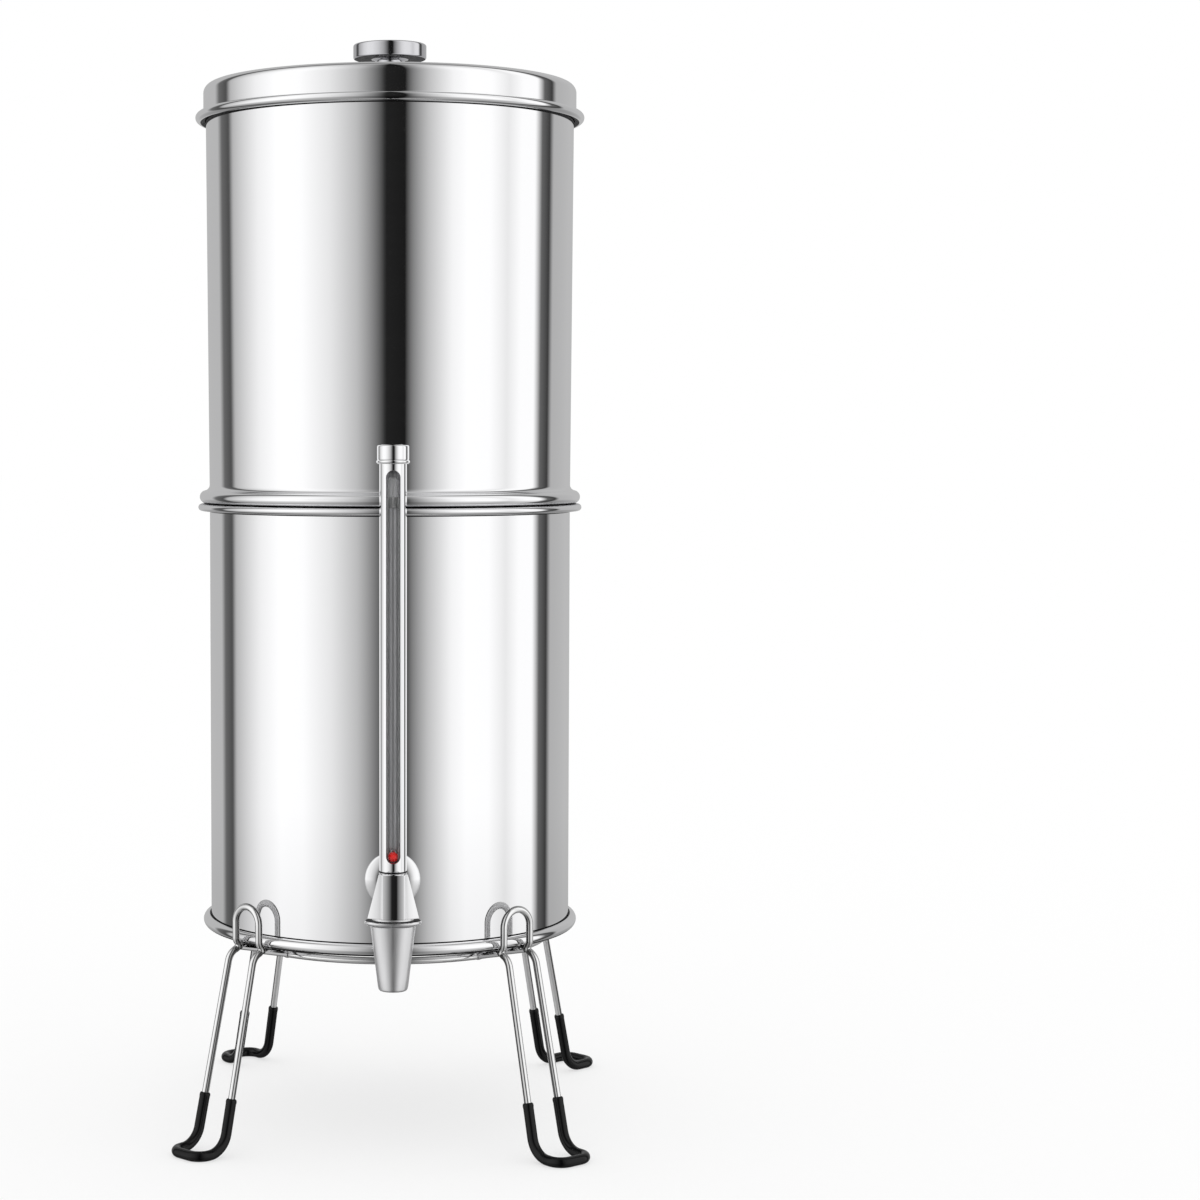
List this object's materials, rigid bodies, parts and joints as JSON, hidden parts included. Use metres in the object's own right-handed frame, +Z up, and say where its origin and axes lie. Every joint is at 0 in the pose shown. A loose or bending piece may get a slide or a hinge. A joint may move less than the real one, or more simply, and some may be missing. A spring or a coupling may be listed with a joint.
{
  "type": "gravity water filter with tap",
  "caption": "Gravity water filter: stacked polished steel chambers with a lid, filter elements inside, a lever tap with a slotted sight gauge, and a wire stand.",
  "frame": {"origin": "on the chambers' common axis, at the table surface that the feet stand on", "axes": "+Z up along the chambers' axis, -Y towards the tap, +X to the right of someone who faces the tap"},
  "size_m": [0.2585, 0.2803, 0.6392],
  "materials": {
    "polished_steel": "mirror-polished stainless steel",
    "bare_steel": "plain drawn stainless steel",
    "stand_wire": "bright chromed wire",
    "tap_chrome": "polished chrome",
    "silicone": "translucent milky silicone",
    "black_vinyl": "satin dipped vinyl",
    "clear_tube": "clear gauge tube",
    "vent_plastic": "pale moulded plastic",
    "red_float": "glossy red plastic",
    "carbon": "pressed carbon in a fine woven wrap",
    "black_plastic": "satin moulded plastic",
    "white_plastic": "white moulded plastic",
    "media": "packed mineral grains"
  },
  "bodies": {
    "stand": {"support_ring": "stand_wire", "leg_front_left": "stand_wire", "leg_front_right": "stand_wire", "leg_rear_right": "stand_wire", "leg_rear_left": "stand_wire", "foot_front_left": "black_vinyl", "foot_front_right": "black_vinyl", "foot_rear_right": "black_vinyl", "foot_rear_left": "black_vinyl"},
    "lower_tank": {"lower_chamber": "polished_steel", "valve_body": "tap_chrome", "escutcheon": "tap_chrome", "outer_washer": "silicone", "inner_washer": "silicone", "lock_nut": "tap_chrome", "nozzle": "tap_chrome", "lever_pin": "bare_steel", "rod_seal": "silicone", "valve_spring": "bare_steel", "gauge_housing": "tap_chrome", "gauge_tube": "clear_tube", "gauge_seal": "silicone", "vent_plug": "vent_plastic", "gauge_cap": "tap_chrome"},
    "tap_lever": {"lever": "tap_chrome"},
    "tap_valve": {"valve_rod": "bare_steel", "valve_plug": "silicone"},
    "gauge_float": {"float_ball": "red_float"},
    "upper_tank": {"upper_chamber": "polished_steel", "carbon_block_left": "carbon", "carbon_top_cap_left": "black_plastic", "carbon_bottom_cap_left": "black_plastic", "element_seal_left": "silicone", "wing_nut_left": "black_plastic", "fluoride_cap_left": "white_plastic", "fluoride_cup_left": "white_plastic", "fluoride_media_left": "media", "carbon_block_right": "carbon", "carbon_top_cap_right": "black_plastic", "carbon_bottom_cap_right": "black_plastic", "element_seal_right": "silicone", "wing_nut_right": "black_plastic", "fluoride_cap_right": "white_plastic", "fluoride_cup_right": "white_plastic", "fluoride_media_right": "media"},
    "lid": {"lid_shell": "polished_steel", "lid_knob": "polished_steel", "knob_washer": "silicone", "knob_screw": "bare_steel"}
  },
  "joints": [
    {"name": "lower_tank_lift", "type": "slide", "parent": "stand", "child": "lower_tank", "axis": [0, 0, 1], "range_m": [0, 0.06]},
    {"name": "upper_tank_lift", "type": "slide", "parent": "lower_tank", "child": "upper_tank", "axis": [0, 0, 1], "range_m": [0, 0.25]},
    {"name": "lid_lift", "type": "slide", "parent": "upper_tank", "child": "lid", "axis": [0, 0, 1], "range_m": [0, 0.06]},
    {"name": "lever_pull", "type": "hinge", "parent": "lower_tank", "child": "tap_lever", "pos_m": [0, -0.136, 0.162], "axis": [-1, 0, 0], "range_deg": [0, 40], "stiffness_Nm_per_rad": 0.12, "springref_deg": -17.19},
    {"name": "valve_stroke", "type": "slide", "parent": "lower_tank", "child": "tap_valve", "axis": [0, 0, -1], "range_m": [0, 0.0045], "deforming": ["valve_spring"]},
    {"name": "float_rise", "type": "slide", "parent": "lower_tank", "child": "gauge_float", "axis": [0, 0, 1], "range_m": [0, 0.19]}
  ],
  "couplings": [
    {"joint": "valve_stroke", "follows": "lever_pull", "m_per_rad": 0.006445}
  ]
}
